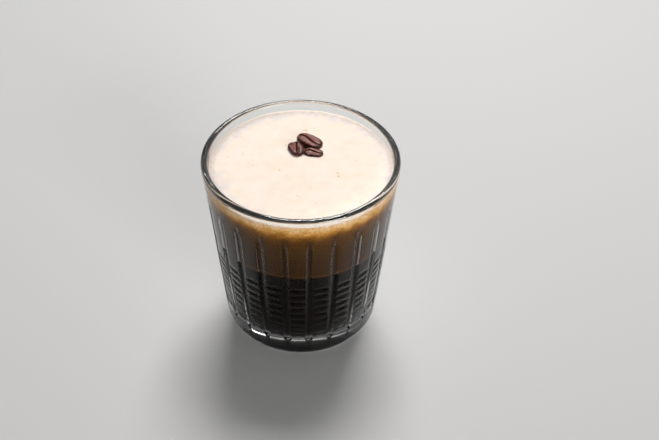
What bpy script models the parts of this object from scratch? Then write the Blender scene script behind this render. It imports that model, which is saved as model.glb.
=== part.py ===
"""A freddo espresso: cold espresso under a deep froth, in a cut rocks glass, with three coffee beans.

The glass stands on z = 0 with its axis on the Z axis. The beans lie on the froth a little behind
the middle. Lengths are in metres, written as millimetres times MM. An angle round the glass is
counted from the front, -Y, and grows towards +X.
"""

import math

import bmesh
import bpy
from mathutils import Euler, Matrix, Vector

MM = 0.001

# The glass: a plain rounded lip, upright grooves below it and a ladder of short cuts low down.
RIM_RADIUS = 41.0 * MM
GLASS_HEIGHT = 87.0 * MM
LIP_WALL = 2.85 * MM
FOOT_WALL = 3.6 * MM
HEEL_RADIUS = 6.0 * MM
HEEL_TOP_RADIUS = 34.7 * MM
FLOOR_THICKNESS = 9.6 * MM
FLOOR_CORNER = 5.0 * MM
FOOT_RING_WIDTH = 3.0 * MM
PUNT_DEPTH = 0.9 * MM
PUNT_SLOPE = 2.5 * MM

# Upright grooves, all the way round. Each fades out slowly at its top and quickly at its foot.
GROOVES = 24
FIRST_GROOVE = math.radians(7.5)
GROOVE_LOW = 12.0 * MM
GROOVE_HIGH = 76.0 * MM
GROOVE_DEPTH = 0.7 * MM
GROOVE_WHEEL = 2.2 * MM
GROOVE_FADE_LOW = 1.2 * MM
GROOVE_FADE_HIGH = 5.0 * MM

# Short level cuts, stacked like rungs in each panel between two grooves.
RUNGS = 8
RUNG_LOW = 18.5 * MM
RUNG_PITCH = 4.0 * MM
RUNG_LENGTH = 6.2 * MM
RUNG_DEPTH = 0.35 * MM
RUNG_WHEEL = 2.4 * MM

# The drink.
GAP = 0.3 * MM
LAYER_LEVEL = 52.0 * MM
FROTH_BELOW_RIM = 4.5 * MM
FROTH_LIP_RISE = 0.35 * MM
FROTH_LIP_WIDTH = 2.0 * MM

# Coffee beans, flat side up. size is length, width and thickness, and sunk how deep the bean sits.
# turn swings its length round from +X, and tilt rolls and lifts it. The crease lies off the middle
# by the first crease value, drifts by the second towards each tip, and sways by the third.
BEAN_FACE_SHARE = 0.26
BEAN_FACE_FLATNESS = 0.55
BEAN_END_BLUNTNESS = 3.0
BEAN_END_ROUNDNESS = 0.45
BEAN_CREASE_DEPTH = 0.95 * MM
BEAN_CREASE_SPREAD = 0.13
BEAN_CREASE_CROWDING = 0.5
BEANS = {
    "bean_back": {
        "size": (11.9 * MM, 7.1 * MM, 4.4 * MM),
        "sunk": 2.2 * MM,
        "centre": (3.1 * MM, 14.8 * MM),
        "turn": math.radians(-33.0),
        "tilt": (math.radians(-3.0), math.radians(2.0)),
        "crease": (-0.2 * MM, -0.6 * MM, -0.5 * MM),
    },
    "bean_left": {
        "size": (8.6 * MM, 5.7 * MM, 4.2 * MM),
        "sunk": 2.3 * MM,
        "centre": (-2.6 * MM, 9.4 * MM),
        "turn": math.radians(-66.0),
        "tilt": (math.radians(-4.0), math.radians(0.0)),
        "crease": (0.4 * MM, -1.7 * MM, -0.1 * MM),
    },
    "bean_front": {
        "size": (8.0 * MM, 5.0 * MM, 3.8 * MM),
        "sunk": 2.4 * MM,
        "centre": (5.0 * MM, 7.3 * MM),
        "turn": math.radians(-7.0),
        "tilt": (math.radians(3.0), math.radians(1.0)),
        "crease": (0.1 * MM, -0.3 * MM, -0.5 * MM),
    },
}

# How finely round things are divided.
TURN_STEPS = 72
ARC_STEPS = 5
CUTTER_SIDES = 12
BEAN_SPOKES = 24
BEAN_RINGS = 16

FROTH_LEVEL = GLASS_HEIGHT - FROTH_BELOW_RIM
LIP_ROUND = LIP_WALL / 2
WALL_SLOPE = math.atan((RIM_RADIUS - HEEL_TOP_RADIUS) / (GLASS_HEIGHT - HEEL_RADIUS))


def clear_scene():
    """Removes every object, so that the script can be run again."""
    for thing in list(bpy.data.objects):
        bpy.data.objects.remove(thing, do_unlink=True)


def new_collection(name):
    """A collection in the scene, emptied of an older one's name."""
    old = bpy.data.collections.get(name)
    if old:
        bpy.data.collections.remove(old)
    made = bpy.data.collections.new(name)
    bpy.context.scene.collection.children.link(made)
    return made


def plain_material(name, colour, roughness, transmission=0.0):
    """A Principled material in one colour."""
    made = bpy.data.materials.new(name)
    made.use_nodes = True
    shader = made.node_tree.nodes["Principled BSDF"]
    shader.inputs["Base Color"].default_value = (*colour, 1.0)
    shader.inputs["Roughness"].default_value = roughness
    shader.inputs["Metallic"].default_value = 0.0
    shader.inputs["Transmission Weight"].default_value = transmission
    return made


def outer_radius(height):
    """Outer radius of the glass's straight side."""
    share = (height - HEEL_RADIUS) / (GLASS_HEIGHT - HEEL_RADIUS)
    return HEEL_TOP_RADIUS + (RIM_RADIUS - HEEL_TOP_RADIUS) * share


def inner_radius(height):
    """Inner radius of the glass: the wall grows thicker towards the foot."""
    share = height / GLASS_HEIGHT
    return outer_radius(height) - (FOOT_WALL + (LIP_WALL - FOOT_WALL) * share)


def arc(centre, radius, start, end, steps):
    """Points (radius, height) along an arc, both ends included, with its angles in degrees."""
    points = []
    for step in range(steps + 1):
        angle = math.radians(start + (end - start) * step / steps)
        points.append((centre[0] + radius * math.cos(angle), centre[1] + radius * math.sin(angle)))
    return points


def floor_corner(gap):
    """The rounded corner between floor and wall, set in by a gap."""
    radius = FLOOR_CORNER - gap
    height = FLOOR_THICKNESS + FLOOR_CORNER
    centre = (inner_radius(height) - FLOOR_CORNER, height)
    return arc(centre, radius, -90, -math.degrees(WALL_SLOPE), ARC_STEPS)


def turned(name, profile, collection, material):
    """A solid of revolution: profile holds (radius, height) and runs down the solid's outer side."""
    mesh = bpy.data.meshes.new(name)
    edges = [(i, i + 1) for i in range(len(profile) - 1)]
    mesh.from_pydata([(radius, 0.0, height) for radius, height in profile], edges, [])
    thing = bpy.data.objects.new(name, mesh)
    collection.objects.link(thing)
    screw = thing.modifiers.new("turn", "SCREW")
    screw.axis = "Z"
    screw.steps = TURN_STEPS
    screw.render_steps = TURN_STEPS
    screw.use_merge_vertices = True
    screw.merge_threshold = 0.01 * MM
    screw.use_smooth_shade = True
    mesh.materials.append(material)
    return thing


def mark_as_cutter(thing):
    """Cutters stay in the file as wire shapes that aren't rendered."""
    thing.hide_render = True
    thing.display_type = "WIRE"


def cut(thing, name, cutters):
    """Takes every object of a collection away from a thing."""
    boolean = thing.modifiers.new(name, "BOOLEAN")
    boolean.operation = "DIFFERENCE"
    boolean.operand_type = "COLLECTION"
    boolean.collection = cutters
    boolean.solver = "EXACT"


def wall_place(angle, height, lift):
    """Where a cutter sits: lift away from the outer wall, its Z axis up the wall and its Y axis outwards."""
    outward = Vector((math.sin(angle), -math.cos(angle), 0.0))
    up = Vector((0.0, 0.0, 1.0))
    along = (up * math.cos(WALL_SLOPE) + outward * math.sin(WALL_SLOPE)).normalized()
    normal = (outward * math.cos(WALL_SLOPE) - up * math.sin(WALL_SLOPE)).normalized()
    side = normal.cross(along)
    place = outward * outer_radius(height) + up * height + normal * lift
    turn = Matrix((side, normal, along)).transposed()
    return Matrix.Translation(place) @ turn.to_4x4()


def groove_mesh():
    """The wheel that cuts a groove: a long round bar whose ends taper, so that the groove fades out."""
    half = (GROOVE_HIGH - GROOVE_LOW) / 2
    end_radius = GROOVE_WHEEL - GROOVE_DEPTH
    rows = [
        (-half, end_radius),
        (-half + GROOVE_FADE_LOW, GROOVE_WHEEL),
        (half - GROOVE_FADE_HIGH, GROOVE_WHEEL),
        (half, end_radius),
    ]
    shape = bmesh.new()
    for height, radius in rows:
        place = Matrix.Translation((0.0, 0.0, height))
        bmesh.ops.create_circle(shape, segments=CUTTER_SIDES, radius=radius, matrix=place)
    bmesh.ops.bridge_loops(shape, edges=shape.edges[:])
    bmesh.ops.holes_fill(shape, edges=[edge for edge in shape.edges if edge.is_boundary], sides=0)
    bmesh.ops.recalc_face_normals(shape, faces=shape.faces)
    mesh = bpy.data.meshes.new("groove_cutter")
    shape.to_mesh(mesh)
    shape.free()
    return mesh


def rung_mesh():
    """The wheel that cuts one rung: a short bar lying level along the wall."""
    shape = bmesh.new()
    bmesh.ops.create_cone(
        shape,
        cap_ends=True,
        segments=CUTTER_SIDES,
        radius1=RUNG_WHEEL,
        radius2=RUNG_WHEEL,
        depth=RUNG_LENGTH,
        matrix=Matrix.Rotation(math.radians(90), 4, "Y"),
    )
    mesh = bpy.data.meshes.new("rung_cutter")
    shape.to_mesh(mesh)
    shape.free()
    return mesh


def make_glass_cutters(cutters):
    """The bars for every groove and every rung, set round the glass."""
    groove = groove_mesh()
    rung = rung_mesh()
    middle = (GROOVE_LOW + GROOVE_HIGH) / 2
    pitch = math.tau / GROOVES
    for number in range(GROOVES):
        angle = FIRST_GROOVE + pitch * number
        bar = bpy.data.objects.new(f"groove_{number:02d}", groove)
        bar.matrix_world = wall_place(angle, middle, GROOVE_WHEEL - GROOVE_DEPTH)
        cutters.objects.link(bar)
        mark_as_cutter(bar)
        for step in range(RUNGS):
            height = RUNG_LOW + RUNG_PITCH * step
            bar = bpy.data.objects.new(f"rung_{number:02d}_{step}", rung)
            bar.matrix_world = wall_place(angle + pitch / 2, height, RUNG_WHEEL - RUNG_DEPTH)
            cutters.objects.link(bar)
            mark_as_cutter(bar)


def make_glass(collection, cutters):
    """The glass: floor, wall and lip in one turned section, with its pattern cut into the outside."""
    lip_height = GLASS_HEIGHT - LIP_ROUND
    ring_outer = HEEL_TOP_RADIUS - HEEL_RADIUS
    ring_inner = ring_outer - FOOT_RING_WIDTH
    profile = [(0.0, FLOOR_THICKNESS)]
    profile += floor_corner(0.0)
    profile += arc((RIM_RADIUS - LIP_ROUND, lip_height), LIP_ROUND, 180, 0, 2 * ARC_STEPS)
    profile += arc((ring_outer, HEEL_RADIUS), HEEL_RADIUS, 0, -90, ARC_STEPS)
    profile += [(ring_inner, 0.0), (ring_inner - PUNT_SLOPE, PUNT_DEPTH), (0.0, PUNT_DEPTH)]
    glass = turned("glass", profile, collection, plain_material("clear_glass", (0.9, 0.93, 0.92), 0.03, 0.9))
    make_glass_cutters(cutters)
    cut(glass, "cut_pattern", cutters)
    return glass


def make_espresso(collection):
    """The espresso, from the glass's floor up to the froth."""
    top = LAYER_LEVEL - GAP / 2
    profile = [(0.0, top), (inner_radius(top) - GAP, top)]
    profile += list(reversed(floor_corner(GAP)))
    profile.append((0.0, FLOOR_THICKNESS + GAP))
    return turned("espresso", profile, collection, plain_material("espresso", (0.012, 0.005, 0.003), 0.2))


def make_froth(collection, cutters):
    """The froth, a deep layer that climbs a little at the glass, with a hollow under each bean."""
    bottom = LAYER_LEVEL + GAP / 2
    edge = inner_radius(FROTH_LEVEL) - GAP
    profile = [
        (0.0, FROTH_LEVEL),
        (edge - FROTH_LIP_WIDTH, FROTH_LEVEL),
        (edge - FROTH_LIP_WIDTH / 3, FROTH_LEVEL + FROTH_LIP_RISE / 2),
        (edge, FROTH_LEVEL + FROTH_LIP_RISE),
        (inner_radius(bottom) - GAP, bottom),
        (0.0, bottom),
    ]
    froth = turned("froth", profile, collection, plain_material("froth", (0.82, 0.62, 0.42), 0.7))
    cut(froth, "bean_hollows", cutters)
    return froth


def bean_mesh(name, size, crease=(0.0, 0.0, 0.0), grow=0.0):
    """A roasted bean, length along X and flat side up: a plump back, two soft lobes and a crease.

    grow makes it larger all round and leaves the crease out, for the hollow that the bean lies in.
    """
    half_length = size[0] / 2 + grow
    half_width = size[1] / 2 + grow
    face = size[2] * BEAN_FACE_SHARE + grow
    back = size[2] * (1.0 - BEAN_FACE_SHARE) + grow
    depth = 0.0 if grow else BEAN_CREASE_DEPTH
    middle, drift, sway = crease
    shape = bmesh.new()
    bmesh.ops.create_uvsphere(
        shape,
        u_segments=BEAN_SPOKES,
        v_segments=BEAN_RINGS,
        radius=1.0,
        matrix=Matrix.Rotation(math.radians(90), 4, "Y"),
    )
    for vert in shape.verts:
        along = max(-1.0, min(1.0, vert.co.x))
        spoke = math.atan2(vert.co.y, vert.co.z)
        spoke -= BEAN_CREASE_CROWDING * math.sin(spoke)
        plump = (1.0 - abs(along) ** BEAN_END_BLUNTNESS) ** BEAN_END_ROUNDNESS
        across = math.sin(spoke)
        over = math.cos(spoke)
        rise = face * over**BEAN_FACE_FLATNESS if over > 0 else back * over
        fade = max(0.0, over) * (1.0 - along**6)
        cleft = depth * fade * math.exp(-((across / BEAN_CREASE_SPREAD) ** 2))
        aside = middle + drift * along + sway * math.sin(math.pi * along)
        vert.co.x = half_length * along
        vert.co.y = half_width * plump * across + aside * fade * max(0.0, over)
        vert.co.z = rise * plump - cleft
    mesh = bpy.data.meshes.new(name)
    shape.to_mesh(mesh)
    shape.free()
    return mesh


def make_beans(collection, hollows, material):
    """The beans, and the slightly larger shapes that press their hollows into the froth."""
    for name, bean in BEANS.items():
        back = bean["size"][2] * (1.0 - BEAN_FACE_SHARE)
        place = Vector((*bean["centre"], FROTH_LEVEL + back - bean["sunk"]))
        turn = Euler((*bean["tilt"], bean["turn"]), "XYZ")
        matrix = Matrix.Translation(place) @ turn.to_matrix().to_4x4()
        thing = bpy.data.objects.new(name, bean_mesh(name, bean["size"], crease=bean["crease"]))
        thing.data.materials.append(material)
        thing.matrix_world = matrix
        thing.data.shade_smooth()
        collection.objects.link(thing)
        hollow_name = name + "_hollow"
        hollow = bpy.data.objects.new(hollow_name, bean_mesh(hollow_name, bean["size"], grow=GAP))
        hollow.matrix_world = matrix
        hollows.objects.link(hollow)
        mark_as_cutter(hollow)


def main():
    clear_scene()
    drink = new_collection("freddo_espresso")
    glass_cutters = new_collection("glass_cutters")
    bean_hollows = new_collection("bean_hollows")
    roast = plain_material("roasted_coffee", (0.075, 0.03, 0.018), 0.4)
    make_beans(drink, bean_hollows, roast)
    make_espresso(drink)
    make_froth(drink, bean_hollows)
    make_glass(drink, glass_cutters)


main()
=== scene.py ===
# %% [markdown]
# # A freddo espresso in a cut rocks glass
#
# The drink is cold espresso under a deep, dense froth, with three roasted coffee beans on top.
# The glass, the two layers and the beans each have a plain solid that fixes their size and place.
# Here every one of them gets its fine surface and its finish, in the same place.
# Lengths are in metres, written as millimetres times MM, and +Z is up the glass's axis.

import itertools
import math
import random

import bmesh
import bpy
from mathutils import Euler, Matrix, Vector, noise


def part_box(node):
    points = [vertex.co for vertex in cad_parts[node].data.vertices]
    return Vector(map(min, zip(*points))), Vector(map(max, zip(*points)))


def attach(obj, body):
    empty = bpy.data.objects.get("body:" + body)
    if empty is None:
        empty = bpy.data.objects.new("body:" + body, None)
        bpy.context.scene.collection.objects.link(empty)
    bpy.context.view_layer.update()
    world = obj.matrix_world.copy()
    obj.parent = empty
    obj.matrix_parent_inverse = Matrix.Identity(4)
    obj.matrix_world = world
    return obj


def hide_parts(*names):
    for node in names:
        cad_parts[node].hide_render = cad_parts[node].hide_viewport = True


MM = 0.001
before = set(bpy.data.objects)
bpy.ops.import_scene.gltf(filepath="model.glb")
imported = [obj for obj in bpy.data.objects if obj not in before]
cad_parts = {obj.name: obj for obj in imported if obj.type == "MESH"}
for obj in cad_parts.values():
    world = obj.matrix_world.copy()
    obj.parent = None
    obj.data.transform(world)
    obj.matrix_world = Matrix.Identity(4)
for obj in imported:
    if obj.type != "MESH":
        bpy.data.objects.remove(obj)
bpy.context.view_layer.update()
print("solids:", sorted(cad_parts))

# %% [markdown]
# ## Helpers
#
# A colour is picked as an sRGB hex value, but a shader works in linear light, so one
# function turns the first into the second. Others add a node with its settings and links, set
# the stops of a colour ramp, start a material, make a piece from a mesh, and hand the finished
# piece over to the frame. Nodes could be laid out by hand in the shader editor. Written as code,
# every number of a finish can be read and changed here.

# %% Colour and node helpers
def linear(hex_colour):
    """Turns an sRGB hex value such as #ffeedd into the linear colour that a shader takes."""
    shares = [int(hex_colour[i:i + 2], 16) / 255 for i in (1, 3, 5)]
    made = [s / 12.92 if s <= 0.04045 else ((s + 0.055) / 1.055) ** 2.4 for s in shares]
    return (*made, 1.0)


def add_node(tree, kind, inputs=None, output=None, **settings):
    """Adds a node with its settings, fills or links its sockets, and gives back an output."""
    made = tree.nodes.new(kind)
    for name, value in settings.items():
        setattr(made, name, value)
    for name, value in (inputs or {}).items():
        shown = [socket for socket in made.inputs if socket.enabled]
        socket = shown[name] if isinstance(name, int) else next(s for s in shown if s.name == name)
        if isinstance(value, bpy.types.NodeSocket):
            tree.links.new(value, socket)
        else:
            socket.default_value = value
    return next(s for s in made.outputs if s.enabled and output in (None, s.name))


def colour_stops(ramp, stops):
    """Sets a colour ramp's stops, each a share from 0 to 1 and a hex colour."""
    elements = ramp.node.color_ramp.elements
    while len(elements) < len(stops):
        elements.new(1.0)
    for element, (share, colour) in zip(elements, stops):
        element.position = share
        element.color = linear(colour)
    return ramp


def new_material(name, **constants):
    """A material with its Principled shader, whose constants go on the shader's own sockets."""
    made = bpy.data.materials.new(name)
    made.use_nodes = True
    shader = made.node_tree.nodes["Principled BSDF"]
    for socket, value in constants.items():
        shader.inputs[socket.replace("_", " ")].default_value = value
    return made, made.node_tree, shader


print(f"half grey, #808080, is {linear('#808080')[0]:.3f} in linear light")

# %% Piece helpers
def place_mesh(mesh, material):
    """Shades a mesh smooth, gives it its material and puts it into the scene as a piece."""
    mesh.shade_smooth()
    mesh.materials.append(material)
    piece = bpy.data.objects.new(mesh.name, mesh)
    bpy.context.scene.collection.objects.link(piece)
    print(f"{mesh.name}: {len(mesh.vertices)} points, {len(mesh.polygons)} faces")
    return piece


def new_piece(name, points, faces, material):
    """A piece whose mesh is given as lists of points and faces."""
    mesh = bpy.data.meshes.new(name)
    mesh.from_pydata(points, [], faces)
    mesh.validate()
    return place_mesh(mesh, material)


def hand_over(piece, node):
    """Rides the piece on the glass's one body, in the place of its plain solid."""
    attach(piece, "root")
    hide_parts(node)


# %% [markdown]
# ## The camera
#
# The picture this drink was built from looks down on it by about 42 degrees, from close by.
# A camera is a point, a direction, a lens and a slight roll. They could be set by eye, but a fit
# to the rim's ellipse, the froth's edge and the glass's outline puts every edge in its place.
# What the fit gave is written here as real sizes.

# %% Camera
PICTURE_WIDTH = 659
FOCAL_PIXELS = 915
SENSOR_WIDTH = 36.0
CLIP_START = 10.0 * MM
CAMERA_DISTANCE = 398.0 * MM
CAMERA_ELEVATION = math.radians(41.9)
CAMERA_ROLL = math.radians(1.41)
CAMERA_AIM = Vector((12.3 * MM, 0.0, 51.91 * MM))


def make_camera():
    data = bpy.data.cameras.new("camera")
    data.sensor_width = SENSOR_WIDTH
    data.lens = SENSOR_WIDTH * FOCAL_PIXELS / PICTURE_WIDTH
    data.clip_start = CLIP_START
    back = Vector((0.0, -math.cos(CAMERA_ELEVATION), math.sin(CAMERA_ELEVATION)))
    level = Vector((1.0, 0.0, 0.0))
    upright = back.cross(level)
    right = level * math.cos(CAMERA_ROLL) + upright * math.sin(CAMERA_ROLL)
    up = upright * math.cos(CAMERA_ROLL) - level * math.sin(CAMERA_ROLL)
    camera = bpy.data.objects.new("camera", data)
    place = Matrix.Translation(CAMERA_AIM + back * CAMERA_DISTANCE)
    camera.matrix_world = place @ Matrix((right, up, back)).transposed().to_4x4()
    bpy.context.scene.collection.objects.link(camera)
    bpy.context.scene.camera = camera
    return camera


camera = make_camera()
print(f"lens {camera.data.lens:.1f} mm, eye at", tuple(round(v / MM) for v in camera.location))

# %% [markdown]
# ## Sizes of the glass
#
# The rim, the height and the levels of the drink are read from the plain solids. The rest
# are the glass's own sizes. The outside is a straight cone above a rounded heel, and the wall
# is thicker at the foot than at the lip, as in pressed glasses. An outline could be drawn as a
# curve and spun with the Screw modifier. Formulas for the radius at any height serve better
# here, because the cuts, the espresso and the froth all have to meet the wall.

# %% Glass sizes
RIM_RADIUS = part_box("glass")[1].x
GLASS_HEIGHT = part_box("glass")[1].z
LIP_WALL = 2.85 * MM
FOOT_WALL = 3.6 * MM
HEEL_RADIUS = 6.0 * MM
HEEL_TOP_RADIUS = 34.7 * MM
FLOOR_THICKNESS = 9.6 * MM
FLOOR_CORNER = 5.0 * MM
FOOT_RING_WIDTH = 3.0 * MM
PUNT_DEPTH = 0.9 * MM
PUNT_SLOPE = 2.5 * MM
LIP_ROUND = LIP_WALL / 2
WALL_SLOPE = math.atan((RIM_RADIUS - HEEL_TOP_RADIUS) / (GLASS_HEIGHT - HEEL_RADIUS))

print(f"glass {2 * RIM_RADIUS / MM:.0f} mm across and {GLASS_HEIGHT / MM:.0f} mm high")

# %% Places on the glass
def at_angle(radius, angle, height):
    """The point at a radius and height, and at an angle from the front round to the right."""
    return (radius * math.sin(angle), -radius * math.cos(angle), height)


def outer_radius(height):
    """Outer radius of the straight side, before anything is cut into it."""
    share = (height - HEEL_RADIUS) / (GLASS_HEIGHT - HEEL_RADIUS)
    return HEEL_TOP_RADIUS + (RIM_RADIUS - HEEL_TOP_RADIUS) * share


def inner_radius(height):
    """Radius of the inside of the wall."""
    return outer_radius(height) - (FOOT_WALL + (LIP_WALL - FOOT_WALL) * height / GLASS_HEIGHT)


def arc(centre, radius, start, end, steps):
    """Points (radius, height) along an arc from one angle in degrees to another."""
    angles = [math.radians(start + (end - start) * step / steps) for step in range(steps + 1)]
    return [(centre[0] + radius * math.cos(a), centre[1] + radius * math.sin(a)) for a in angles]


def floor_corner(reach, steps):
    """The rounded inner corner between floor and wall, moved into the glass by a reach."""
    height = FLOOR_THICKNESS + FLOOR_CORNER
    centre = (inner_radius(height) - FLOOR_CORNER, height)
    return arc(centre, FLOOR_CORNER + reach, -90, -math.degrees(WALL_SLOPE), steps)


half_way = GLASS_HEIGHT / 2
print(f"wall {(outer_radius(half_way) - inner_radius(half_way)) / MM:.2f} mm thick half-way up")

# %% [markdown]
# ## The cut pattern
#
# A wheel with a rounded edge cuts each upright groove, and a smaller one cuts the short level
# rungs between two grooves. Booleans with 216 bars could do that here too, but they leave
# ragged shading on curved glass. So the depth of the cut is a formula, taken off the outer
# radius point by point, and the mesh's columns follow the grooves' edges to keep them crisp.

# %% Depth of the cuts
GROOVES = 24
GROOVE_PITCH = math.tau / GROOVES
FIRST_GROOVE = math.radians(7.5)
GROOVE_LOW = 12.0 * MM
GROOVE_HIGH = 76.0 * MM
GROOVE_DEPTH = 0.7 * MM
GROOVE_WHEEL = 2.2 * MM
GROOVE_FADE_LOW = 1.2 * MM
GROOVE_FADE_HIGH = 5.0 * MM
RUNGS = 8
RUNG_LOW = 18.5 * MM
RUNG_PITCH = 4.0 * MM
RUNG_LENGTH = 6.2 * MM
RUNG_DEPTH = 0.35 * MM
RUNG_WHEEL = 2.4 * MM
GROOVE_HALF_WIDTH = math.sqrt(GROOVE_WHEEL**2 - (GROOVE_WHEEL - GROOVE_DEPTH) ** 2)
RUNG_HALF_HEIGHT = math.sqrt(RUNG_WHEEL**2 - (RUNG_WHEEL - RUNG_DEPTH) ** 2)


def wheel_cut(wheel, depth, offset):
    """How deep a wheel of that radius cuts at an offset from the middle of its groove."""
    if abs(offset) >= wheel:
        return 0.0
    return max(0.0, math.sqrt(wheel**2 - offset**2) - (wheel - depth))


def cut_depth(angle, height):
    """Depth of the pattern at an angle round the glass and a height."""
    turns = (angle - FIRST_GROOVE) / GROOVE_PITCH
    off_groove = (turns - round(turns)) * GROOVE_PITCH * outer_radius(height)
    off_panel = (turns - math.floor(turns) - 0.5) * GROOVE_PITCH * outer_radius(height)
    run = min((height - GROOVE_LOW) / GROOVE_FADE_LOW, (GROOVE_HIGH - height) / GROOVE_FADE_HIGH)
    depth = 0.0
    if run > 0.0:
        sunk = GROOVE_DEPTH * min(1.0, run)
        depth = wheel_cut(GROOVE_WHEEL - GROOVE_DEPTH + sunk, sunk, off_groove)
    rung = round((height - RUNG_LOW) / RUNG_PITCH)
    if 0 <= rung < RUNGS and abs(off_panel) < RUNG_LENGTH / 2:
        off_rung = height - RUNG_LOW - RUNG_PITCH * rung
        bulge = off_panel**2 / (2 * outer_radius(height))
        depth = max(depth, wheel_cut(RUNG_WHEEL, RUNG_DEPTH, off_rung) - bulge)
    return depth


print(f"groove {2 * GROOVE_HALF_WIDTH / MM:.1f} mm wide")
print(f"rung {2 * RUNG_HALF_HEIGHT / MM:.1f} mm high")

# %% [markdown]
# ## Glass, pressed and fire-polished
#
# The glass is clear soda-lime: light bends in it with an index of 1.52, and the flame that
# polished it left no roughness at all. On a pale floor the wall would mirror enough of it to
# turn the black coffee grey. The plain Glass shader has no way round that. The Principled
# shader has: its mirror image is dimmed with the specular tint, all but on the lip, which
# mirrors the light above and keeps its bright line.

# %% Glass material
GLASS_IOR = 1.52
LIP_GLOSS_FROM = 84.0 * MM
LIP_GLOSS_FULL = 85.5 * MM

pressed_glass, tree, shader = new_material(
    "soda_lime_glass_fire_polished",
    Base_Color=linear("#fbfdfc"),
    Roughness=0.0,
    IOR=GLASS_IOR,
    Transmission_Weight=1.0,
)
place = add_node(tree, "ShaderNodeTexCoord", output="Object")
height = add_node(tree, "ShaderNodeSeparateXYZ", {"Vector": place}, "Z")
on_lip = add_node(
    tree,
    "ShaderNodeMapRange",
    {"Value": height, "From Min": LIP_GLOSS_FROM, "From Max": LIP_GLOSS_FULL},
)
gloss = add_node(
    tree,
    "ShaderNodeMix",
    {"Factor": on_lip, "A": linear("#585858"), "B": linear("#ffffff")},
    data_type="RGBA",
)
tree.links.new(gloss, shader.inputs["Specular Tint"])
print(f"{pressed_glass.name}: {len(tree.nodes)} nodes")

# %% [markdown]
# ## The glass's mesh
#
# A pressed glass is one closed skin: inner floor, inner wall, lip, cut outside, heel, foot ring
# and the shallow recess under the foot. It could be a spun outline with a Solidify modifier,
# but then the cuts would push through to the inside. So the skin is made ring by ring, all with
# the same number of points, and only the rings of the outside have the pattern taken off.
# The glass casts no shadow of its own, because the renderer would take it for black and leave
# the drink inside in the dark.

# %% Glass mesh: where its columns and rows run
GROOVE_CELLS = 10
PANEL_CELLS = 10
RUNG_ROWS = (1.0, 0.9, 0.68, 0.38, 0.0, -0.38, -0.68, -0.9, -1.0)
FADE_ROWS = 12
PLAIN_ROWS = 6


def column_angles(radius):
    """Angles of the columns at one radius, close together across each groove."""
    half = GROOVE_HALF_WIDTH / radius
    angles = []
    for number in range(GROOVES):
        centre = FIRST_GROOVE + GROOVE_PITCH * number
        for cell in range(GROOVE_CELLS):
            angles.append(centre - half * math.cos(math.pi * cell / GROOVE_CELLS))
        for cell in range(PANEL_CELLS):
            angles.append(centre + half + (GROOVE_PITCH - 2 * half) * cell / PANEL_CELLS)
    return angles


def cut_heights():
    """Heights of the rows down the outside, with one on each edge of every rung."""
    heights = {GROOVE_HIGH - GROOVE_FADE_HIGH * step / FADE_ROWS for step in range(FADE_ROWS + 1)}
    heights |= {GROOVE_LOW + GROOVE_FADE_LOW * step / FADE_ROWS for step in range(FADE_ROWS + 1)}
    top_rung = RUNG_LOW + RUNG_PITCH * (RUNGS - 1) + RUNG_PITCH / 2
    plain = GROOVE_HIGH - GROOVE_FADE_HIGH - top_rung
    heights |= {top_rung + plain * step / PLAIN_ROWS for step in range(PLAIN_ROWS)}
    for rung in range(RUNGS):
        middle = RUNG_LOW + RUNG_PITCH * rung
        heights |= {middle + RUNG_HALF_HEIGHT * share for share in RUNG_ROWS}
        heights.add(middle + RUNG_PITCH / 2)
    return sorted(heights, reverse=True)


print(f"{len(column_angles(RIM_RADIUS))} columns, {len(cut_heights())} rows down the outside")

# %% Glass mesh: its outline from the inner floor, over the lip, to the foot
LIP_STEPS = 14
HEEL_STEPS = 12
CORNER_STEPS = 10


def glass_outline():
    """Radius and height of each ring, and whether the pattern is cut there."""
    ring_outer = HEEL_TOP_RADIUS - HEEL_RADIUS
    ring_inner = ring_outer - FOOT_RING_WIDTH
    lip_centre = (RIM_RADIUS - LIP_ROUND, GLASS_HEIGHT - LIP_ROUND)
    inside = [(ring_inner, FLOOR_THICKNESS)]
    inside += floor_corner(0.0, CORNER_STEPS)
    inside += arc(lip_centre, LIP_ROUND, 180, 0, LIP_STEPS)
    outside = [(outer_radius(height), height) for height in cut_heights()]
    foot = arc((ring_outer, HEEL_RADIUS), HEEL_RADIUS, 0, -90, HEEL_STEPS)
    foot += [(ring_inner, 0.0), (ring_inner - PUNT_SLOPE, PUNT_DEPTH)]
    parts = ((inside, False), (outside, True), (foot, False))
    return [(radius, height, is_cut) for part, is_cut in parts for radius, height in part]


print(f"outline of {len(glass_outline())} rings")

# %% Glass mesh: one closed skin
def ring_faces(first, second, count):
    """Quads between two rings of points, given by the index of each ring's first point."""
    faces = []
    for column in range(count):
        after = (column + 1) % count
        faces.append((first + column, second + column, second + after, first + after))
    return faces


def closed_skin(rings, first_height, last_height):
    """Points and faces of a skin over rings, closed by a fan to the axis at each end."""
    count = len(rings[0])
    points = [point for ring in rings for point in ring]
    last = len(points) - count
    middle = len(points)
    points += [(0.0, 0.0, first_height), (0.0, 0.0, last_height)]
    faces = []
    for start in range(0, last, count):
        faces += ring_faces(start, start + count, count)
    for column in range(count):
        after = (column + 1) % count
        faces.append((middle, column, after))
        faces.append((last + column, middle + 1, last + after))
    return points, faces


def make_glass():
    rings = []
    for radius, height, is_cut in glass_outline():
        ring = []
        for angle in column_angles(outer_radius(height)):
            depth = cut_depth(angle, height) if is_cut else 0.0
            ring.append(at_angle(radius - depth, angle, height))
        rings.append(ring)
    points, faces = closed_skin(rings, FLOOR_THICKNESS, PUNT_DEPTH)
    return new_piece("glass_tumbler", points, faces, pressed_glass)


glass = make_glass()
glass.visible_shadow = False
hand_over(glass, "glass")

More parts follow.
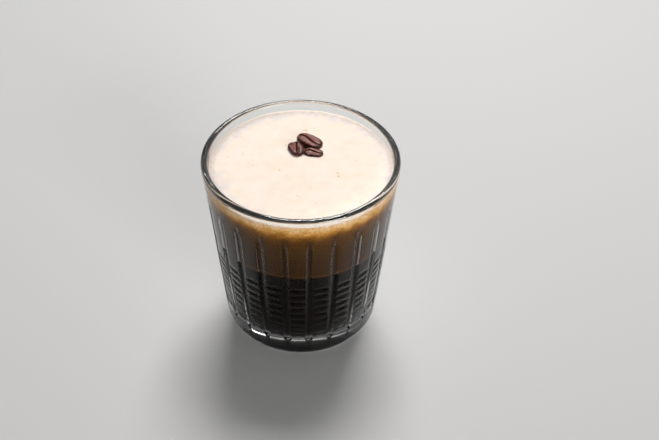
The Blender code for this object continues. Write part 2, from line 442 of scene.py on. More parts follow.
# %% [markdown]
# ## Espresso
#
# Brewed espresso is a brown so deep that a few millimetres of it look black. A volume shader
# could soak up the light that enters it, but so little comes back that an opaque skin looks
# the same and renders cleanly. Where a drink touches glass there is no air between them, so the
# skin reaches a little way into the wall. Seen straight on, it has no shine there, because
# water and glass bend light almost alike. Seen at a low angle it is a mirror, as any thinner
# medium is from inside a denser one. That draws the bright line round the coffee's foot.
# The ratio of the two indexes is 0.88. With 0.775 and a mirror that isn't quite white, the line
# is as broad and as bright as on the real one.

# %% Espresso material
COFFEE_TO_GLASS_IOR = 0.775
MIRROR_FROM = 0.02
DRIFT_SIZE = 14.0 * MM

espresso_brew, tree, shader = new_material(
    "espresso_brewed_and_chilled",
    Roughness=0.06,
    Specular_IOR_Level=0.0,
)
place = add_node(tree, "ShaderNodeTexCoord", output="Object")
drift = add_node(
    tree, "ShaderNodeTexNoise", {"Vector": place, "Scale": 1 / DRIFT_SIZE, "Detail": 2.0}
)
tint = colour_stops(
    add_node(tree, "ShaderNodeValToRGB", {"Fac": drift}),
    [(0.0, "#040201"), (1.0, "#090402")],
)
mirror = add_node(tree, "ShaderNodeFresnel", {"IOR": COFFEE_TO_GLASS_IOR})
mirror = add_node(tree, "ShaderNodeMapRange", {"Value": mirror, "From Min": MIRROR_FROM})
skin = add_node(
    tree,
    "ShaderNodeMix",
    {"Factor": mirror, "A": tint, "B": linear("#dedede")},
    data_type="RGBA",
)
tree.links.new(skin, shader.inputs["Base Color"])
tree.links.new(mirror, shader.inputs["Metallic"])
print(f"{espresso_brew.name}: {len(tree.nodes)} nodes")

# %% Espresso mesh
CONTACT_REACH = 0.15 * MM
LAYER_LEVEL = (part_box("espresso")[1].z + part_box("froth")[0].z) / 2
ESPRESSO_ABOVE_LAYER = 0.4 * MM
ESPRESSO_COLUMNS = 240


def make_espresso():
    top = LAYER_LEVEL + ESPRESSO_ABOVE_LAYER
    outline = [(inner_radius(top) + CONTACT_REACH, top)]
    outline += reversed(floor_corner(CONTACT_REACH, CORNER_STEPS))
    angles = [math.tau * column / ESPRESSO_COLUMNS for column in range(ESPRESSO_COLUMNS)]
    rings = [[at_angle(radius, angle, height) for angle in angles] for radius, height in outline]
    points, faces = closed_skin(rings, top, outline[-1][1])
    return new_piece("espresso_layer", points, faces, espresso_brew)


hand_over(make_espresso(), "espresso")

# %% [markdown]
# ## Where the beans lie
#
# Three beans were dropped on the froth and sank in a little. They could be dropped here too,
# with rigid body physics, but then they wouldn't lie as on the real drink. So each is given by
# its size, how deep it sits, where its middle is, how it is turned and tilted, and how its
# crease runs: its offset, its drift along the bean and its sway. The froth has to know all
# this, because it dips under each bean and climbs a little up its side.

# %% Bean places
FREE_RIM = 4.5 * MM
FROTH_LEVEL = GLASS_HEIGHT - FREE_RIM
BEAN_FACE_SHARE = 0.26
BEANS = {
    "bean_back": {
        "size": (11.9 * MM, 7.1 * MM, 4.4 * MM),
        "sunk": 2.2 * MM,
        "centre": (3.1 * MM, 14.8 * MM),
        "turn": math.radians(-33.0),
        "tilt": (math.radians(-3.0), math.radians(2.0)),
        "crease": (-0.2 * MM, -0.6 * MM, -0.5 * MM),
    },
    "bean_left": {
        "size": (8.6 * MM, 5.7 * MM, 4.2 * MM),
        "sunk": 2.3 * MM,
        "centre": (-2.6 * MM, 9.4 * MM),
        "turn": math.radians(-66.0),
        "tilt": (math.radians(-4.0), math.radians(0.0)),
        "crease": (0.4 * MM, -1.7 * MM, -0.1 * MM),
        "fold": 0.33,
    },
    "bean_front": {
        "size": (8.0 * MM, 5.0 * MM, 3.8 * MM),
        "sunk": 2.4 * MM,
        "centre": (5.0 * MM, 7.3 * MM),
        "turn": math.radians(-7.0),
        "tilt": (math.radians(3.0), math.radians(1.0)),
        "crease": (0.1 * MM, -0.3 * MM, -0.5 * MM),
    },
}


def bean_matrix(bean):
    """Where a bean lies: its own X runs along it and its own Z points out of its flat side."""
    back = bean["size"][2] * (1.0 - BEAN_FACE_SHARE)
    place = Matrix.Translation((*bean["centre"], FROTH_LEVEL + back - bean["sunk"]))
    return place @ Euler((*bean["tilt"], bean["turn"]), "XYZ").to_matrix().to_4x4()


print("beans:", ", ".join(BEANS))

# %% How far a point of the froth is from a bean
BEAN_END_BLUNTNESS = 3.0
BEAN_END_ROUNDNESS = 0.45
BEAN_THINNEST = 0.01
FAR_AWAY = 10.0
BEAN_FRAMES = [(bean, bean_matrix(bean).inverted()) for bean in BEANS.values()]


def plumpness(along):
    """How full a bean is at a share of its half length, from 1 in the middle to 0 at the tips."""
    return max(0.0, 1.0 - min(1.0, abs(along)) ** BEAN_END_BLUNTNESS) ** BEAN_END_ROUNDNESS


def bean_reach(bean, inverse, x, y):
    """1 on the bean's outline at the froth's level, less inside it and more outside."""
    local = inverse @ Vector((x, y, FROTH_LEVEL))
    length, width, thickness = bean["size"]
    plump = plumpness(2 * local.x / length)
    if plump < BEAN_THINNEST:
        return FAR_AWAY
    sideways = 2 * local.y / width
    down = local.z / (thickness * (1.0 - BEAN_FACE_SHARE))
    return math.hypot(sideways, down) / plump


middle_reaches = [bean_reach(bean, inverse, 0.0, 0.0) for bean, inverse in BEAN_FRAMES]
print("reach of the froth's middle:", [round(reach, 1) for reach in middle_reaches])

# %% [markdown]
# ## The froth's shape
#
# The froth is one thick layer. Its side is pressed against the glass, and its top is nearly
# level: it swells a little here and there, climbs the wall at its edge, rises slightly towards
# the beans, sinks between them, dips under each one and has a few burst bubbles. A Displace
# modifier could do the swells, but not the rest, so one function gives the height of any point
# of the top. Rings of points, each with six more than the last, keep the mesh equally fine
# from the middle to the edge, which spokes would not.

# %% Froth: its burst bubbles
PITS = 90
PIT_SPREAD = 0.55
PIT_CROWDING = 2.2
PIT_FROM_WALL = 0.8 * MM
PIT_SMALLEST = 0.22 * MM
PIT_LARGEST = 0.55 * MM
PIT_DEPTH_SHARE = 0.35
PIT_CELL = 2.0 * MM
rolls = random.Random(11)


def scatter_pits():
    """Burst bubbles, most of them near the wall: x, y, radius and depth of each."""
    pits = []
    inner = inner_radius(FROTH_LEVEL)
    for _ in range(PITS):
        angle = rolls.uniform(0, math.tau)
        away = inner * (1.0 - PIT_SPREAD * rolls.random() ** PIT_CROWDING) - PIT_FROM_WALL
        radius = rolls.uniform(PIT_SMALLEST, PIT_LARGEST)
        x, y, _ = at_angle(away, angle, 0.0)
        pits.append((x, y, radius, radius * PIT_DEPTH_SHARE))
    return pits


def pit_cell(x, y):
    """The square of the froth's top that holds a point."""
    return round(x / PIT_CELL), round(y / PIT_CELL)


def pits_by_cell(pits):
    """For each square, the pits in it and in the eight round it, so that few have to be asked."""
    near = {}
    for pit in pits:
        column, row = pit_cell(pit[0], pit[1])
        for shift in itertools.product((-1, 0, 1), repeat=2):
            near.setdefault((column + shift[0], row + shift[1]), []).append(pit)
    return near


NEAR_PITS = pits_by_cell(scatter_pits())
print(f"{PITS} burst bubbles reach {len(NEAR_PITS)} squares")

# %% Froth: the height of its top
FROTH_CLIMB = 0.35 * MM
FROTH_CLIMB_WIDTH = 1.1 * MM
SWELL_SIZE = 13.0 * MM
SWELL_HEIGHT = 0.13 * MM
LUMP_SIZE = 2.6 * MM
LUMP_HEIGHT = 0.035 * MM
LUMP_SLICE = 7.0 * MM
PIT_REACH = 1.6
PIT_STEEPNESS = 1.5
PIT_RIM_HEIGHT = 0.25
PIT_RIM_PLACE = 1.05
PIT_RIM_WIDTH = 0.25
BEAN_CLIMB = 0.15 * MM
BEAN_CLIMB_SPREAD = 0.3
BETWEEN_BEANS = 1.2 * MM
HOLLOW_EDGE = 0.8
HOLLOW_DEPTH_SHARE = 1.3


def froth_height(x, y):
    """Height of the froth's top at a point."""
    height = FROTH_LEVEL
    height += SWELL_HEIGHT * noise.noise(Vector((x, y, 0.0)) / SWELL_SIZE)
    height += LUMP_HEIGHT * noise.noise(Vector((x, y, LUMP_SLICE)) / LUMP_SIZE)
    to_wall = inner_radius(FROTH_LEVEL) - math.hypot(x, y)
    height += FROTH_CLIMB * math.exp(-max(0.0, to_wall) / FROTH_CLIMB_WIDTH)
    for pit_x, pit_y, radius, depth in NEAR_PITS.get(pit_cell(x, y), []):
        share = math.hypot(x - pit_x, y - pit_y) / radius
        if share < PIT_REACH:
            from_rim = (share - PIT_RIM_PLACE) / PIT_RIM_WIDTH
            height -= depth * math.exp(-(share * PIT_STEEPNESS) ** 4)
            height += PIT_RIM_HEIGHT * depth * math.exp(-(from_rim**2))
    reaches = [bean_reach(bean, inverse, x, y) for bean, inverse in BEAN_FRAMES]
    nearness = sorted(math.exp(-max(0.0, reach - 1.0) / BEAN_CLIMB_SPREAD) for reach in reaches)
    height += BEAN_CLIMB * nearness[-1] - BETWEEN_BEANS * nearness[-2]
    for bean, reach in zip(BEANS.values(), reaches):
        if reach < HOLLOW_EDGE:
            hollow = math.sqrt(1.0 - (reach / HOLLOW_EDGE) ** 2)
            height -= bean["sunk"] * HOLLOW_DEPTH_SHARE * hollow
    return height


print(f"middle of the top {(froth_height(0.0, 0.0) - FROTH_LEVEL) / MM:+.3f} mm from its level")

# %% Froth mesh: rings of the top
FROTH_REACH = 0.2 * MM
FROTH_CELL = 0.27 * MM
FROTH_EDGE = inner_radius(FROTH_LEVEL + FROTH_CLIMB) + FROTH_REACH
FROTH_RINGS = round(FROTH_EDGE / FROTH_CELL)
RING_SIDES = 6


def froth_top():
    """Points of the top, ring by ring outwards, and the index of each ring's first point."""
    points = [(0.0, 0.0, froth_height(0.0, 0.0))]
    starts = [0]
    for ring in range(1, FROTH_RINGS + 1):
        starts.append(len(points))
        count = RING_SIDES * ring
        for step in range(count):
            x, y, _ = at_angle(FROTH_EDGE * ring / FROTH_RINGS, math.tau * step / count, 0.0)
            points.append((x, y, froth_height(x, y)))
    return points, starts


def triangles_inside(ring, starts):
    """Triangles between one ring of the top and the smaller ring inside it."""
    inner_count = max(1, RING_SIDES * (ring - 1))
    outer_count = RING_SIDES * ring
    faces = []
    for side in range(RING_SIDES):
        for step in range(ring):
            inner = side * (ring - 1) + step
            outer = side * ring + step
            here = starts[ring - 1] + inner % inner_count
            beyond = starts[ring] + (outer + 1) % outer_count
            faces.append((here, starts[ring] + outer, beyond))
            if step < ring - 1:
                faces.append((here, beyond, starts[ring - 1] + (inner + 1) % inner_count))
    return faces


print(f"{FROTH_RINGS} rings, the last {FROTH_EDGE / MM:.1f} mm from the middle")

# %% Froth mesh: rings of the side
SIDE_ROW = 1.0 * MM
LAYER_WAVES = 0.25 * MM
WAVE_CIRCLE = 3.0
WAVE_SLICE = Vector((0.0, 0.0, 5.0))


def froth_side(count):
    """Rings of points down the side. The lowest follows the wavy line where the espresso starts."""
    top = FROTH_LEVEL + FROTH_CLIMB
    rows = round((top - LAYER_LEVEL) / SIDE_ROW)
    rings = []
    for row in range(1, rows + 1):
        ring = []
        for step in range(count):
            angle = math.tau * step / count
            height = top + (LAYER_LEVEL - top) * row / rows
            if row == rows:
                turned = Vector((math.sin(angle), math.cos(angle), 0.0)) * WAVE_CIRCLE
                height += LAYER_WAVES * noise.noise(turned + WAVE_SLICE)
            ring.append(at_angle(inner_radius(height) + FROTH_REACH, angle, height))
        rings.append(ring)
    return rings


def make_froth(material):
    count = RING_SIDES * FROTH_RINGS
    points, starts = froth_top()
    faces = []
    for ring in range(1, FROTH_RINGS + 1):
        faces += triangles_inside(ring, starts)
    above = starts[FROTH_RINGS]
    for ring in froth_side(count):
        faces += ring_faces(above, len(points), count)
        above = len(points)
        points += ring
    middle = len(points)
    points.append((0.0, 0.0, LAYER_LEVEL))
    faces += [(above + step, middle, above + (step + 1) % count) for step in range(count)]
    return new_piece("froth_layer", points, faces, material)


print(f"froth {(FROTH_LEVEL - LAYER_LEVEL) / MM:.1f} mm deep")

# %% [markdown]
# ## The froth's finish
#
# The froth is beaten until its bubbles are too fine to see, so they aren't modelled: noise
# stands for them. Dense and dry at the top, the froth is cream; lower down it holds more
# coffee, and turns gold, then brown. So the side's colour is a ramp over the height, and the
# ramp also holds painted shade: the side grows darker downwards from its lit top, as light from
# above fades in the froth, and stays darker than the top, which faces the light. Noise at
# the size of the clumps of froth pushes the ramp up and down, and a finer one speckles it with
# the larger bubbles. The top is cooler and coarser in a ragged band along the wall, widest at
# the back and on the left; that band and a darker line of bubbles at the wall are partly
# painted shade that tones down the extra light near the back wall. The top has a few tan
# specks, and a brown stain where the beans wet it, which is partly painted shadow between them.
# Foam scatters light inside itself, so some subsurface light softens it: red goes deepest, then
# green, then blue. It is mostly air and has no gloss. Only its side, pressed flat against the
# glass, is a mirror for light that runs down inside the wall at a low angle, which is why a
# glass's lip looks grey and not the colour of the drink.

# %% Froth material
beaten_froth, tree, shader = new_material(
    "coffee_froth_beaten",
    Roughness=0.25,
    Specular_IOR_Level=0.0,
    Subsurface_Weight=0.25,
    Subsurface_Radius=(2.2, 1.4, 0.9),
    Subsurface_Scale=1.0 * MM,
)
place = add_node(tree, "ShaderNodeTexCoord", output="Object")
height = add_node(tree, "ShaderNodeSeparateXYZ", {"Vector": place}, "Z")
across = height.node.outputs["X"]
away = height.node.outputs["Y"]
print(f"{beaten_froth.name}: started")

# %% Froth's side: a ramp over the height, pushed up and down by clumps
# Heights in millimetres and the colour that the froth's side has there, with painted shade that
# deepens downwards from the lit top.
SIDE_TONES = (
    (52.0, "#150702"),
    (52.6, "#2b1706"),
    (53.3, "#4a2f10"),
    (54.6, "#38220a"),
    (62.0, "#3c2509"),
    (69.0, "#462d0b"),
    (72.3, "#4f2f07"),
    (74.0, "#563508"),
    (75.7, "#67400a"),
    (76.9, "#815212"),
    (78.0, "#a06e2b"),
    (79.1, "#c19049"),
    (80.3, "#d4a869"),
    (81.4, "#dab98b"),
    (82.3, "#dcb893"),
    (82.8, "#e4c8a8"),
)
TONES_LOW = SIDE_TONES[0][0]
TONES_HIGH = SIDE_TONES[-1][0]
CLUMP_SIZE = 6.0 * MM
CLUMP_PUSH = 7.0 * MM
CLUMPS_FROM = 60.0 * MM
CLUMPS_FULL = 74.0 * MM
# Noise runs from 0 to 1 about this middle.
NOISE_MIDDLE = 0.5

clumps = add_node(
    tree, "ShaderNodeTexNoise", {"Vector": place, "Scale": 1 / CLUMP_SIZE, "Detail": 4.0}
)
clumps = add_node(tree, "ShaderNodeMath", {0: clumps, 1: NOISE_MIDDLE}, operation="SUBTRACT")
push = add_node(
    tree,
    "ShaderNodeMapRange",
    {"Value": height, "From Min": CLUMPS_FROM, "From Max": CLUMPS_FULL, "To Max": CLUMP_PUSH},
)
pushed = add_node(
    tree, "ShaderNodeMath", {0: clumps, 1: push, 2: height}, operation="MULTIPLY_ADD"
)
share = add_node(
    tree,
    "ShaderNodeMapRange",
    {"Value": pushed, "From Min": TONES_LOW * MM, "From Max": TONES_HIGH * MM},
)
side = colour_stops(
    add_node(tree, "ShaderNodeValToRGB", {"Fac": share}),
    [((level - TONES_LOW) / (TONES_HIGH - TONES_LOW), colour) for level, colour in SIDE_TONES],
)
print(f"side: {len(SIDE_TONES)} tones from {TONES_LOW} to {TONES_HIGH} mm")

# %% Froth's side: speckles
# Single bubbles are 0.1 to 0.3 mm wide and would not show, so the noise is drawn coarser.
BUBBLE_SIZE = 0.9 * MM

bubbles = add_node(
    tree, "ShaderNodeTexNoise", {"Vector": place, "Scale": 1 / BUBBLE_SIZE, "Detail": 3.0}
)
speckle = colour_stops(
    add_node(tree, "ShaderNodeValToRGB", {"Fac": bubbles}),
    [(0.3, "#d8cdc2"), (0.6, "#ffffff")],
)
side = add_node(
    tree,
    "ShaderNodeMix",
    {"Factor": 1.0, "A": side, "B": speckle},
    data_type="RGBA",
    blend_type="MULTIPLY",
)
print(f"speckles about {BUBBLE_SIZE / MM:.1f} mm wide")

# %% Froth's side: less light behind each groove, which bends it away
STREAK_INNER = math.radians(1.0)
STREAK_OUTER = math.radians(3.2)
STREAK_TOP = 77.0 * MM
STREAK_FADE = 5.0 * MM
STREAK_SHADE = 0.5

turn = add_node(tree, "ShaderNodeMath", {0: across, 1: away}, operation="ARCTAN2")
off_panel = add_node(
    tree, "ShaderNodeMath", {0: turn, 1: GROOVE_PITCH / 2}, operation="PINGPONG"
)
streak = add_node(
    tree,
    "ShaderNodeMapRange",
    {
        "Value": off_panel,
        "From Min": GROOVE_PITCH / 2 - STREAK_OUTER,
        "From Max": GROOVE_PITCH / 2 - STREAK_INNER,
        "To Max": STREAK_SHADE,
    },
    interpolation_type="SMOOTHSTEP",
)
below = add_node(
    tree,
    "ShaderNodeMapRange",
    {"Value": height, "From Min": STREAK_TOP, "From Max": STREAK_TOP - STREAK_FADE},
)
shaded = add_node(tree, "ShaderNodeMath", {0: streak, 1: below}, operation="MULTIPLY")
side = add_node(
    tree,
    "ShaderNodeMix",
    {"Factor": shaded, "A": side, "B": linear("#000000")},
    data_type="RGBA",
)
print(f"streaks {math.degrees(2 * STREAK_OUTER):.1f} degrees wide behind {GROOVES} grooves")

# %% Froth's top: cream, with a cooler ragged band along the wall that is partly painted shade
PATCH_SIZE = 5.0 * MM
CALM_MIDDLE = (0.4 * MM, -0.7 * MM, 0.0)
LEVEL_ONLY = (1.0, 1.0, 0.0)
BAND_RAGGED = 12.0 * MM
BAND_FROM = 31.5 * MM
BAND_FULL = 38.0 * MM

patches = add_node(
    tree, "ShaderNodeTexNoise", {"Vector": place, "Scale": 1 / PATCH_SIZE, "Detail": 5.0}
)
cream = colour_stops(
    add_node(tree, "ShaderNodeValToRGB", {"Fac": patches}),
    [(0.3, "#fae6d4"), (0.55, "#fdebdb"), (0.75, "#fdeee2")],
)
offset = add_node(
    tree, "ShaderNodeVectorMath", {0: place, 1: CALM_MIDDLE}, operation="SUBTRACT"
)
offset = add_node(
    tree, "ShaderNodeVectorMath", {0: offset, 1: LEVEL_ONLY}, operation="MULTIPLY"
)
from_calm = add_node(tree, "ShaderNodeVectorMath", {0: offset}, "Value", operation="LENGTH")
ragged = add_node(
    tree, "ShaderNodeMath", {0: clumps, 1: BAND_RAGGED, 2: from_calm}, operation="MULTIPLY_ADD"
)
# The band is partly the froth's cooler colour near the wall and partly painted shade, darkest at
# the back where extra light falls.
band = add_node(
    tree,
    "ShaderNodeMapRange",
    {"Value": ragged, "From Min": BAND_FROM, "From Max": BAND_FULL},
    interpolation_type="SMOOTHSTEP",
)
print(f"band from {BAND_FROM / MM:.1f} mm to {BAND_FULL / MM:.1f} mm from the calm middle")

# %% Froth's top: a line of coarser, darker bubbles where it meets the wall, partly painted shade
WALL_BUBBLE_SIZE = 1.6 * MM
WALL_LINE_RAGGED = 3.0 * MM
WALL_LINE_FROM = 35.4 * MM
WALL_LINE_FULL = 37.9 * MM
WALL_LINE_COVER = 0.85

coarse = add_node(
    tree, "ShaderNodeTexNoise", {"Vector": place, "Scale": 1 / WALL_BUBBLE_SIZE, "Detail": 2.0}
)
coarse = add_node(tree, "ShaderNodeMath", {0: coarse, 1: NOISE_MIDDLE}, operation="SUBTRACT")
ragged = add_node(
    tree,
    "ShaderNodeMath",
    {0: coarse, 1: WALL_LINE_RAGGED, 2: from_calm},
    operation="MULTIPLY_ADD",
)
# The line is darker partly from its coarser bubbles and partly as painted shade along the wall.
wall_line = add_node(
    tree,
    "ShaderNodeMapRange",
    {
        "Value": ragged,
        "From Min": WALL_LINE_FROM,
        "From Max": WALL_LINE_FULL,
        "To Max": WALL_LINE_COVER,
    },
)
print(f"line of bubbles about {WALL_BUBBLE_SIZE / MM:.1f} mm wide")

# %% Froth's top: a few specks of coffee
SPECK_SIZE = 2.4 * MM
SPECKS_FROM = 0.73
SPECKS_FULL = 0.82
SPECK_COVER = 0.8

sparse = add_node(
    tree, "ShaderNodeTexNoise", {"Vector": place, "Scale": 1 / SPECK_SIZE, "Detail": 1.0}
)
specks = add_node(
    tree,
    "ShaderNodeMapRange",
    {"Value": sparse, "From Min": SPECKS_FROM, "From Max": SPECKS_FULL, "To Max": SPECK_COVER},
)
print(f"specks where noise of {SPECK_SIZE / MM:.1f} mm is over {SPECKS_FROM}")

# %% Froth's top: stained brown, with painted shadow, where the three beans meet
STAIN_SHADOW_MIDDLE = (1.1 * MM, 9.4 * MM, FROTH_LEVEL)
STAIN_SHADOW_SQUEEZE = (1.0, 0.5, 1.0)
STAIN_SHADOW_FULL = 1.5 * MM
STAIN_SHADOW_EDGE = 2.0 * MM
STAIN_SHADOW_COVER = 0.9

offset = add_node(
    tree, "ShaderNodeVectorMath", {0: place, 1: STAIN_SHADOW_MIDDLE}, operation="SUBTRACT"
)
offset = add_node(
    tree, "ShaderNodeVectorMath", {0: offset, 1: STAIN_SHADOW_SQUEEZE}, operation="MULTIPLY"
)
from_stain_and_shadow = add_node(tree, "ShaderNodeVectorMath", {0: offset}, "Value", operation="LENGTH")
# A brown stain and a painted shadow in the gaps where the three beans meet.
stain_and_shadow = add_node(
    tree,
    "ShaderNodeMapRange",
    {
        "Value": from_stain_and_shadow,
        "From Min": STAIN_SHADOW_FULL,
        "From Max": STAIN_SHADOW_EDGE,
        "To Min": STAIN_SHADOW_COVER,
        "To Max": 0.0,
    },
)
print(f"stain full to {STAIN_SHADOW_FULL / MM:.1f} mm and gone at {STAIN_SHADOW_EDGE / MM:.1f} mm")

# %% Froth's top: each mark laid over the cream
# The band and the wall line are partly painted shade, and the stain is partly painted shadow.
TOP_MARKS = (
    (band, "#e4dad5"),
    (wall_line, "#c4b6a9"),
    (specks, "#d9bd8c"),
    (stain_and_shadow, "#54281b"),
)

top = cream
for cover, colour in TOP_MARKS:
    top = add_node(
        tree,
        "ShaderNodeMix",
        {"Factor": cover, "A": top, "B": linear(colour)},
        data_type="RGBA",
    )
print(f"top: {len(TOP_MARKS)} marks over the cream")

# %% Froth's colour: the top's where it faces up, the side's elsewhere
TOP_FACES_FROM = 0.35
TOP_FACES_FULL = 0.75

facing = add_node(tree, "ShaderNodeNewGeometry", output="Normal")
facing_up = add_node(tree, "ShaderNodeSeparateXYZ", {"Vector": facing}, "Z")
upward = add_node(
    tree,
    "ShaderNodeMapRange",
    {"Value": facing_up, "From Min": TOP_FACES_FROM, "From Max": TOP_FACES_FULL},
)
# Part of how much darker the side is than the top is painted shade.
whole = add_node(
    tree, "ShaderNodeMix", {"Factor": upward, "A": side, "B": top}, data_type="RGBA"
)
print(f"cream where the skin leans less than {math.degrees(math.acos(TOP_FACES_FULL)):.0f} degrees")

# %% Froth's side: a mirror for light that runs down inside the wall
FROTH_TO_GLASS_IOR = 0.78
FILM_FROM = 0.08
SIDE_FACES_FULL = 0.15
SIDE_FACES_NONE = 0.35

film = add_node(tree, "ShaderNodeFresnel", {"IOR": FROTH_TO_GLASS_IOR})
film = add_node(tree, "ShaderNodeMapRange", {"Value": film, "From Min": FILM_FROM})
leaning = add_node(tree, "ShaderNodeMath", {0: facing_up}, operation="ABSOLUTE")
against_glass = add_node(
    tree,
    "ShaderNodeMapRange",
    {
        "Value": leaning,
        "From Min": SIDE_FACES_FULL,
        "From Max": SIDE_FACES_NONE,
        "To Min": 1.0,
        "To Max": 0.0,
    },
)
film = add_node(tree, "ShaderNodeMath", {0: film, 1: against_glass}, operation="MULTIPLY")
whole = add_node(
    tree,
    "ShaderNodeMix",
    {"Factor": film, "A": whole, "B": linear("#ffffff")},
    data_type="RGBA",
)
critical = math.degrees(math.asin(FROTH_TO_GLASS_IOR))
print(f"full mirror beyond {critical:.0f} degrees from straight on")

# %% Froth: its fine grain, and the finished layer
GRAIN_DEPTH = 0.05 * MM
GRAIN_STRENGTH = 0.4

grain = add_node(
    tree,
    "ShaderNodeBump",
    {"Height": bubbles, "Distance": GRAIN_DEPTH, "Strength": GRAIN_STRENGTH},
)
tree.links.new(film, shader.inputs["Metallic"])
tree.links.new(whole, shader.inputs["Base Color"])
tree.links.new(grain, shader.inputs["Normal"])
print(f"{beaten_froth.name}: {len(tree.nodes)} nodes")
hand_over(make_froth(beaten_froth), "froth")

# %% [markdown]
# ## The beans' finish
#
# A dark roast is a reddish brown with a thin film of oil, satin and not wet. Here it is palest
# on top of the lobes and nearly black in the crease and round the edge. That is partly the
# roast's own colour and partly painted light and shade: painted shade in the crease and at the
# edge, painted light on the lobes. A mask could be painted by hand for that, but the bean's own
# height tells the same, so the colour is a ramp over it.
# Noise blurs the ramp into blotches, and a finer one makes the pores.

# %% Bean material
# Heights in millimetres above the bean's widest outline, and its colour there, with painted shade
# low in the crease and at the edge and painted light high on the lobes.
ROAST_AND_SHADE_TONES = (
    (-1.2, "#5e3428"),
    (-0.3, "#4c2419"),
    (0.1, "#2f0f07"),
    (0.4, "#260a05"),
    (0.65, "#5c3024"),
    (0.9, "#7f4b3f"),
    (1.2, "#845248"),
)
ROAST_AND_SHADE_LOW = ROAST_AND_SHADE_TONES[0][0]
ROAST_AND_SHADE_HIGH = ROAST_AND_SHADE_TONES[-1][0]
BLOTCH_SIZE = 1.2 * MM
BLOTCH_PUSH = 0.8 * MM

dark_roast, tree, shader = new_material(
    "coffee_bean_dark_roast",
    Roughness=0.4,
    Specular_IOR_Level=0.35,
)
place = add_node(tree, "ShaderNodeTexCoord", output="Object")
height = add_node(tree, "ShaderNodeSeparateXYZ", {"Vector": place}, "Z")
blotches = add_node(
    tree, "ShaderNodeTexNoise", {"Vector": place, "Scale": 1 / BLOTCH_SIZE, "Detail": 4.0}
)
blotches = add_node(tree, "ShaderNodeMath", {0: blotches, 1: NOISE_MIDDLE}, operation="SUBTRACT")
pushed = add_node(
    tree, "ShaderNodeMath", {0: blotches, 1: BLOTCH_PUSH, 2: height}, operation="MULTIPLY_ADD"
)
share = add_node(
    tree,
    "ShaderNodeMapRange",
    {"Value": pushed, "From Min": ROAST_AND_SHADE_LOW * MM, "From Max": ROAST_AND_SHADE_HIGH * MM},
)
roast_and_shade = colour_stops(
    add_node(tree, "ShaderNodeValToRGB", {"Fac": share}),
    [((level - ROAST_AND_SHADE_LOW) / (ROAST_AND_SHADE_HIGH - ROAST_AND_SHADE_LOW), colour) for level, colour in ROAST_AND_SHADE_TONES],
)
tree.links.new(roast_and_shade, shader.inputs["Base Color"])

# %% Bean pores
# Real pores are about 0.05 mm wide and would not show, so they are drawn coarser.
PORE_SIZE = 0.22 * MM
PORE_DEPTH = 0.03 * MM
PORE_STRENGTH = 0.6

pores = add_node(
    tree, "ShaderNodeTexNoise", {"Vector": place, "Scale": 1 / PORE_SIZE, "Detail": 2.0}
)
skin = add_node(
    tree,
    "ShaderNodeBump",
    {"Height": pores, "Distance": PORE_DEPTH, "Strength": PORE_STRENGTH},
)
tree.links.new(skin, shader.inputs["Normal"])
print(f"{dark_roast.name}: {len(tree.nodes)} nodes")

# %% [markdown]
# ## The beans' shape
#
# A roasted bean is a plump half egg. Its flat side is two soft lobes with a crease between
# them that sways from end to end, and roasting leaves fine wrinkles. The left bean also has a
# short fold beside its crease. Each could be sculpted, but one formula serves all three. It
# starts from a sphere with its poles at the tips: each point's place on the sphere gives how
# far along, across and over the bean it is, and from that the formula gives the bean's shape.

# %% Bean shape
BEAN_FACE_FLATNESS = 0.55
BEAN_TIP_FADE = 6
CREASE_DEPTH = 0.95 * MM
CREASE_SPREAD = 0.13
CREASE_CROWDING = 0.5
FOLD_DEPTH = 0.6 * MM
FOLD_SPREAD = 0.09
FOLD_FROM = -0.25
FOLD_STEEPNESS = 3


def cleft_depth(bean, along, across, fade):
    """How deep the crease, and the short fold beside it, are at a place on the flat side."""
    depth = CREASE_DEPTH * fade * math.exp(-((across / CREASE_SPREAD) ** 2))
    if "fold" in bean:
        ending = min(1.0, max(0.0, (along - FOLD_FROM) / (1.0 - FOLD_FROM) * FOLD_STEEPNESS))
        off_fold = (across - bean["fold"]) / FOLD_SPREAD
        depth += FOLD_DEPTH * fade * ending * math.exp(-(off_fold**2))
    return depth


def bean_point(bean, along, spoke):
    """The bean's point at a share of its half length and an angle round it, 0 at the crease."""
    length, width, thickness = bean["size"]
    middle, drift, sway = bean["crease"]
    face = thickness * BEAN_FACE_SHARE
    back = thickness - face
    spoke -= CREASE_CROWDING * math.sin(spoke)
    across = math.sin(spoke)
    over = math.cos(spoke)
    plump = plumpness(along)
    rise = face * over**BEAN_FACE_FLATNESS if over > 0 else back * over
    fade = max(0.0, over) * (1.0 - along**BEAN_TIP_FADE)
    aside = middle + drift * along + sway * math.sin(math.pi * along)
    y = width / 2 * plump * across + aside * fade * max(0.0, over)
    z = rise * plump - cleft_depth(bean, along, across, fade)
    return (length / 2 * along, y, z)


deepest = cleft_depth(BEANS["bean_back"], 0.0, 0.0, 1.0)
print(f"crease {deepest / MM:.2f} mm deep in the middle")

# %% Bean mesh
BEAN_SPOKES = 112
BEAN_RINGS = 88
WRINKLE_SIZE = 0.85 * MM
WRINKLE_HEIGHT = 0.18 * MM
WRINKLE_STRETCH = 0.22
FINE_WRINKLE_SIZE = WRINKLE_SIZE * 0.4
FINE_WRINKLE_SHARE = 0.5
NAME_SLICE = 20.0 * MM
TURN_SLICE = 10.0 * MM


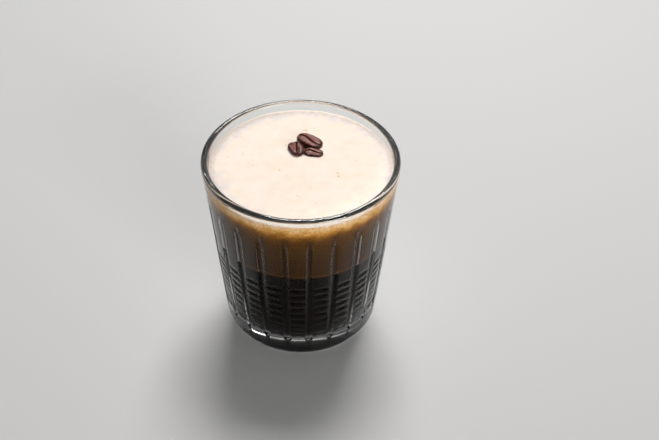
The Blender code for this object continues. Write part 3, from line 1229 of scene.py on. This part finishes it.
def make_bean(name, bean, material):
    shape = bmesh.new()
    lengthwise = Matrix.Rotation(math.radians(90), 4, "Y")
    bmesh.ops.create_uvsphere(
        shape, u_segments=BEAN_SPOKES, v_segments=BEAN_RINGS, radius=1.0, matrix=lengthwise
    )
    for vert in shape.verts:
        along = max(-1.0, min(1.0, vert.co.x))
        vert.co = bean_point(bean, along, math.atan2(vert.co.y, vert.co.z))
    shape.normal_update()
    seed = Vector((0.0, 0.0, NAME_SLICE * len(name) + TURN_SLICE * bean["turn"]))
    for vert in shape.verts:
        stretched = Vector((vert.co.x * WRINKLE_STRETCH, vert.co.y, vert.co.z)) + seed
        ripple = noise.noise(stretched / WRINKLE_SIZE)
        ripple += FINE_WRINKLE_SHARE * noise.noise(stretched / FINE_WRINKLE_SIZE)
        vert.co += vert.normal * WRINKLE_HEIGHT * ripple
    mesh = bpy.data.meshes.new(name + "_roasted")
    shape.to_mesh(mesh)
    shape.free()
    piece = place_mesh(mesh, material)
    piece.matrix_world = bean_matrix(bean)
    return piece


for name, bean in BEANS.items():
    hand_over(make_bean(name, bean, dark_roast), name)

# %% [markdown]
# ## Floor and light
#
# A pale matt floor, a soft light high above and behind, and a weaker one low at the front.
# A light in front could show more of the glass, but it would wash out the drink. Light from
# behind leaves the near side of the glass in its own shade, which keeps the espresso black,
# and it draws a bright line along the lip. The low light reaches the froth's side through the
# glass, and stands far off so that the floor is lit evenly.

# %% Floor
FLOOR_SIZE = 6.0
FLOOR_GAP = 0.05 * MM

painted_board, tree, shader = new_material(
    "painted_board_matt",
    Base_Color=linear("#d0cfcd"),
    Roughness=0.7,
    Specular_IOR_Level=0.2,
)
bpy.ops.mesh.primitive_plane_add(size=FLOOR_SIZE, location=(0.0, 0.0, -FLOOR_GAP))
floor = bpy.context.object
floor.name = "floor"
floor.data.materials.append(painted_board)
print(f"{floor.name}: {FLOOR_SIZE} m square")

# %% Lights
def add_softbox(name, azimuth, elevation, distance, size, power):
    """A square white area light that faces the drink. Azimuth 0 is in front, 90 to the right."""
    data = bpy.data.lights.new(name, "AREA")
    data.shape = "SQUARE"
    data.size = size
    data.energy = power
    lift = math.radians(elevation)
    away = Vector(at_angle(math.cos(lift), math.radians(azimuth), math.sin(lift)))
    light = bpy.data.objects.new(name, data)
    light.location = away * distance + Vector((0.0, 0.0, GLASS_HEIGHT / 2))
    light.rotation_euler = away.to_track_quat("Z", "Y").to_euler()
    bpy.context.scene.collection.objects.link(light)
    print(f"{name}: {power} W, {size} m square, {distance} m away")


add_softbox("key_above_behind", azimuth=172, elevation=60, distance=1.1, size=0.45, power=11.8)
add_softbox("low_front_right", azimuth=35, elevation=14, distance=2.6, size=1.2, power=36.0)

# %% Room light
ROOM_STRENGTH = 0.1

world = bpy.data.worlds.new("studio")
world.use_nodes = True
background = world.node_tree.nodes["Background"]
background.inputs["Color"].default_value = linear("#e8ebf0")
background.inputs["Strength"].default_value = ROOM_STRENGTH
bpy.context.scene.world = world
bpy.context.scene.view_settings.view_transform = "Standard"
print(f"room light {ROOM_STRENGTH}")
